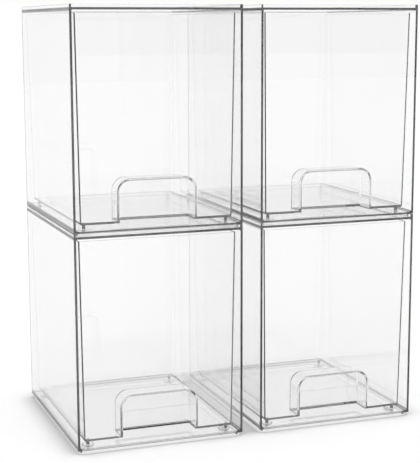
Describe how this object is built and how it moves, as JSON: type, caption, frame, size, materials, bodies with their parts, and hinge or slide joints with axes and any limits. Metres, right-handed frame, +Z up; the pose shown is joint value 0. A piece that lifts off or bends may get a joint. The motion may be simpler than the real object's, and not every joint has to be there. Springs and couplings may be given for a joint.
{
  "type": "stacking drawer unit set",
  "caption": "Clear moulded storage drawers in stacked columns, each case holding a pull-out drawer with an arched finger recess.",
  "frame": {"origin": "on the standing surface, under the middle of the whole set", "axes": "+Z up; the drawers pull out along -Y; +X runs from the left column to the right column as seen from the front"},
  "size_m": [0.2836, 0.1672, 0.3378],
  "materials": {
    "clear_case": "clear polished styrene moulding",
    "clear_drawer": "clear polished styrene moulding",
    "clear_pad": "soft clear rubber with a satin skin"
  },
  "bodies": {
    "left_lower_unit": {"left_lower_case": "clear_case", "left_lower_pad_front_left": "clear_pad", "left_lower_pad_front_right": "clear_pad", "left_lower_pad_back_left": "clear_pad", "left_lower_pad_back_right": "clear_pad"},
    "left_lower_drawer_body": {"left_lower_drawer": "clear_drawer"},
    "left_upper_unit": {"left_upper_case": "clear_case", "left_upper_pad_front_left": "clear_pad", "left_upper_pad_front_right": "clear_pad", "left_upper_pad_back_left": "clear_pad", "left_upper_pad_back_right": "clear_pad"},
    "left_upper_drawer_body": {"left_upper_drawer": "clear_drawer"},
    "right_lower_unit": {"right_lower_case": "clear_case", "right_lower_pad_front_left": "clear_pad", "right_lower_pad_front_right": "clear_pad", "right_lower_pad_back_left": "clear_pad", "right_lower_pad_back_right": "clear_pad"},
    "right_lower_drawer_body": {"right_lower_drawer": "clear_drawer"},
    "right_upper_unit": {"right_upper_case": "clear_case", "right_upper_pad_front_left": "clear_pad", "right_upper_pad_front_right": "clear_pad", "right_upper_pad_back_left": "clear_pad", "right_upper_pad_back_right": "clear_pad"},
    "right_upper_drawer_body": {"right_upper_drawer": "clear_drawer"}
  },
  "joints": [
    {"name": "left_lower_drawer_slide", "type": "slide", "parent": "left_lower_unit", "child": "left_lower_drawer_body", "axis": [0, -1, 0], "range_m": [0, 0.12]},
    {"name": "left_upper_drawer_slide", "type": "slide", "parent": "left_upper_unit", "child": "left_upper_drawer_body", "axis": [0, -1, 0], "range_m": [0, 0.12]},
    {"name": "left_stack_lift", "type": "slide", "parent": "left_lower_unit", "child": "left_upper_unit", "axis": [0, 0, 1], "range_m": [0, 0.08]},
    {"name": "right_lower_drawer_slide", "type": "slide", "parent": "right_lower_unit", "child": "right_lower_drawer_body", "axis": [0, -1, 0], "range_m": [0, 0.12]},
    {"name": "right_upper_drawer_slide", "type": "slide", "parent": "right_upper_unit", "child": "right_upper_drawer_body", "axis": [0, -1, 0], "range_m": [0, 0.12]},
    {"name": "right_stack_lift", "type": "slide", "parent": "right_lower_unit", "child": "right_upper_unit", "axis": [0, 0, 1], "range_m": [0, 0.08]},
    {"name": "column_spacing", "type": "slide", "parent": "left_lower_unit", "child": "right_lower_unit", "axis": [1, 0, 0], "range_m": [-0.014, 0.1]}
  ]
}
